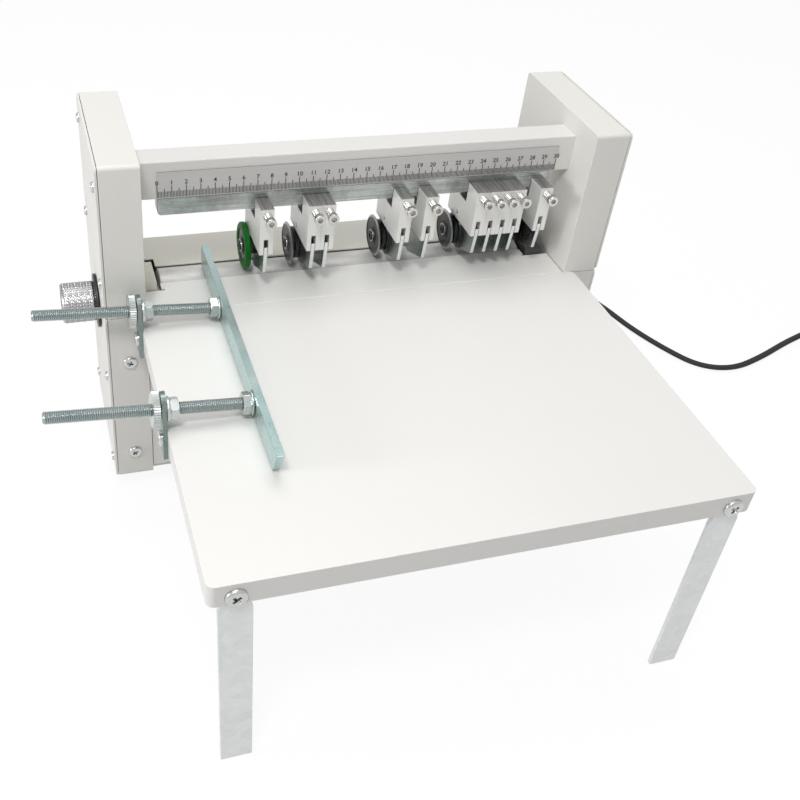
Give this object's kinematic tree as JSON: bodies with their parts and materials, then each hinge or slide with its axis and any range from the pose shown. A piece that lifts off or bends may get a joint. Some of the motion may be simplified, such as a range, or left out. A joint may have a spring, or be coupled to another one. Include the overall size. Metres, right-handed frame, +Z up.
{
  "type": "desktop paper creasing machine",
  "caption": "Free-standing electric creasing machine: housings joined by a ruled cross beam, sliding wheel holders over a driven roller, infeed table on folding legs, side guide.",
  "frame": {"origin": "on the floor, under the middle of the machine's bounding box without its mains lead", "axes": "+Z up from the floor; +X right along the roller as seen from the infeed side; +Y back, from the infeed table through the roller to the outfeed side"},
  "size_m": [0.875, 0.4957, 0.2855],
  "materials": {
    "cream_paint": "satin powder coat",
    "table_paint": "satin powder coat",
    "bed_paint": "satin powder coat",
    "ruler_metal": "satin",
    "zinc": "zinc plated",
    "galvanised": "galvanised",
    "holder_metal": "machined",
    "screw_steel": "blackened",
    "arm_steel": "machined",
    "wheel_steel": "hardened, bright rim",
    "green_rubber": "smooth",
    "black_rubber": "matt",
    "roller_steel": "ground",
    "knob_metal": "knurled",
    "block_plastic": "moulded",
    "motor_metal": "satin",
    "black_plastic": "moulded",
    "cord_plastic": "smooth"
  },
  "bodies": {
    "frame": {"left_upper_housing": "cream_paint", "left_lower_housing": "cream_paint", "left_side_covers": "cream_paint", "right_upper_housing": "cream_paint", "right_lower_housing": "cream_paint", "right_side_covers": "cream_paint", "base_plate": "bed_paint", "cross_beam": "bed_paint", "ruler_plate": "ruler_metal", "clamp_rail": "zinc", "bed_plate": "bed_paint", "outfeed_plate": "bed_paint", "roller_end_blocks": "block_plastic", "roller_bearings": "roller_steel", "drive_motor": "motor_metal", "rubber_feet": "black_rubber", "panel_screws": "zinc", "strain_relief": "black_plastic", "switch_bezel": "black_plastic", "infeed_table": "table_paint", "guide_brackets": "zinc", "power_cord": "cord_plastic", "cord_coil": "cord_plastic", "mains_plug": "black_plastic"},
    "left_leg": {"left_leg": "galvanised"},
    "right_leg": {"right_leg": "galvanised"},
    "roller": {"feed_roller": "roller_steel", "hand_knob": "knob_metal", "roller_gear": "roller_steel"},
    "motor_gear": {"motor_gear": "roller_steel"},
    "guide": {"guide_bar": "zinc", "guide_rods": "zinc", "bar_nuts": "zinc"},
    "rear_thumb_nut": {"rear_thumb_nut": "zinc"},
    "front_thumb_nut": {"front_thumb_nut": "zinc"},
    "power_switch": {"power_switch": "black_plastic"},
    "holder_1": {"tool_block_1": "holder_metal", "clamp_screws_1": "screw_steel"},
    "arm_1": {"tool_arm_1": "arm_steel"},
    "wheel_1": {"tool_wheel_1": "wheel_steel", "wheel_1_tyre": "green_rubber"},
    "holder_2": {"tool_block_2": "holder_metal", "clamp_screws_2": "screw_steel"},
    "arm_2": {"tool_arm_2": "arm_steel"},
    "wheel_2": {"tool_wheel_2": "wheel_steel"},
    "holder_3": {"tool_block_3": "holder_metal", "clamp_screws_3": "screw_steel"},
    "arm_3": {"tool_arm_3": "arm_steel"},
    "wheel_3": {"tool_wheel_3": "wheel_steel"},
    "holder_4": {"tool_block_4": "holder_metal", "clamp_screws_4": "screw_steel"},
    "arm_4": {"tool_arm_4": "arm_steel"},
    "holder_5": {"tool_block_5": "holder_metal", "clamp_screws_5": "screw_steel"},
    "arm_5": {"tool_arm_5": "arm_steel"},
    "wheel_5": {"tool_wheel_5": "wheel_steel"},
    "holder_6": {"tool_block_6": "holder_metal", "clamp_screws_6": "screw_steel"},
    "arm_6": {"tool_arm_6": "arm_steel"},
    "wheel_6": {"tool_wheel_6": "black_rubber"}
  },
  "joints": [
    {"name": "left_leg_fold", "type": "hinge", "parent": "frame", "child": "left_leg", "pos_m": [-0.12959, -0.1819, 0.16], "axis": [0, -1, 0], "range_deg": [0, 68]},
    {"name": "right_leg_fold", "type": "hinge", "parent": "frame", "child": "right_leg", "pos_m": [0.17941, -0.1819, 0.16], "axis": [0, 1, 0], "range_deg": [0, 68]},
    {"name": "roller_turn", "type": "hinge", "parent": "frame", "child": "roller", "pos_m": [0.02091, 0.114, 0.1517], "axis": [1, 0, 0], "continuous": true},
    {"name": "motor_turn", "type": "hinge", "parent": "frame", "child": "motor_gear", "pos_m": [0.19691, 0.114, 0.1082], "axis": [1, 0, 0], "continuous": true},
    {"name": "guide_slide", "type": "slide", "parent": "frame", "child": "guide", "axis": [0.9977, 0, -0.068], "range_m": [-0.0355, 0.002]},
    {"name": "rear_thumb_nut_turn", "type": "hinge", "parent": "frame", "child": "rear_thumb_nut", "pos_m": [-0.15159, 0.0495, 0.1841], "axis": [0.9977, 0, -0.068], "continuous": true},
    {"name": "front_thumb_nut_turn", "type": "hinge", "parent": "frame", "child": "front_thumb_nut", "pos_m": [-0.15159, -0.0549, 0.1841], "axis": [0.9977, 0, -0.068], "continuous": true},
    {"name": "switch_rock", "type": "hinge", "parent": "frame", "child": "power_switch", "pos_m": [0.20041, 0.1778, 0.092], "axis": [1, 0, 0], "range_deg": [0, 14]},
    {"name": "holder_1_slide", "type": "slide", "parent": "frame", "child": "holder_1", "axis": [1, 0, 0], "range_m": [-0.01, 0.008]},
    {"name": "arm_1_lift", "type": "hinge", "parent": "holder_1", "child": "arm_1", "pos_m": [-0.05289, 0.0784, 0.206], "axis": [1, 0, 0], "range_deg": [0, 2], "stiffness_Nm_per_rad": 0.5, "springref_deg": -20.05},
    {"name": "wheel_1_turn", "type": "hinge", "parent": "arm_1", "child": "wheel_1", "pos_m": [-0.05839, 0.114, 0.1888], "axis": [1, 0, 0], "continuous": true},
    {"name": "holder_2_slide", "type": "slide", "parent": "frame", "child": "holder_2", "axis": [1, 0, 0], "range_m": [-0.01, 0.018]},
    {"name": "arm_2_lift", "type": "hinge", "parent": "holder_2", "child": "arm_2", "pos_m": [-0.01799, 0.0784, 0.206], "axis": [1, 0, 0], "range_deg": [0, 2], "stiffness_Nm_per_rad": 0.5, "springref_deg": -20.05},
    {"name": "wheel_2_turn", "type": "hinge", "parent": "arm_2", "child": "wheel_2", "pos_m": [-0.02349, 0.114, 0.1875], "axis": [1, 0, 0], "continuous": true},
    {"name": "holder_3_slide", "type": "slide", "parent": "frame", "child": "holder_3", "axis": [1, 0, 0], "range_m": [-0.02, 0.003]},
    {"name": "arm_3_lift", "type": "hinge", "parent": "holder_3", "child": "arm_3", "pos_m": [0.05071, 0.0784, 0.206], "axis": [1, 0, 0], "range_deg": [0, 2], "stiffness_Nm_per_rad": 0.5, "springref_deg": -20.05},
    {"name": "wheel_3_turn", "type": "hinge", "parent": "arm_3", "child": "wheel_3", "pos_m": [0.04521, 0.114, 0.1875], "axis": [1, 0, 0], "continuous": true},
    {"name": "holder_4_slide", "type": "slide", "parent": "frame", "child": "holder_4", "axis": [1, 0, 0], "range_m": [-0.005, 0.01]},
    {"name": "arm_4_lift", "type": "hinge", "parent": "holder_4", "child": "arm_4", "pos_m": [0.07021, 0.0784, 0.206], "axis": [1, 0, 0], "range_deg": [0, 2], "stiffness_Nm_per_rad": 0.5, "springref_deg": -20.05},
    {"name": "holder_5_slide", "type": "slide", "parent": "frame", "child": "holder_5", "axis": [1, 0, 0], "range_m": [-0.012, 0.0005]},
    {"name": "arm_5_lift", "type": "hinge", "parent": "holder_5", "child": "arm_5", "pos_m": [0.11051, 0.0784, 0.206], "axis": [1, 0, 0], "range_deg": [0, 2], "stiffness_Nm_per_rad": 0.5, "springref_deg": -20.05},
    {"name": "wheel_5_turn", "type": "hinge", "parent": "arm_5", "child": "wheel_5", "pos_m": [0.10501, 0.114, 0.1875], "axis": [1, 0, 0], "continuous": true},
    {"name": "holder_6_slide", "type": "slide", "parent": "frame", "child": "holder_6", "axis": [1, 0, 0], "range_m": [-0.0012, 0.002]},
    {"name": "arm_6_lift", "type": "hinge", "parent": "holder_6", "child": "arm_6", "pos_m": [0.16221, 0.0784, 0.206], "axis": [1, 0, 0], "range_deg": [0, 2], "stiffness_Nm_per_rad": 0.5, "springref_deg": -20.05},
    {"name": "wheel_6_turn", "type": "hinge", "parent": "arm_6", "child": "wheel_6", "pos_m": [0.15671, 0.114, 0.1875], "axis": [1, 0, 0], "continuous": true}
  ],
  "couplings": [
    {"joint": "motor_turn", "follows": "roller_turn", "ratio": -1.9}
  ]
}
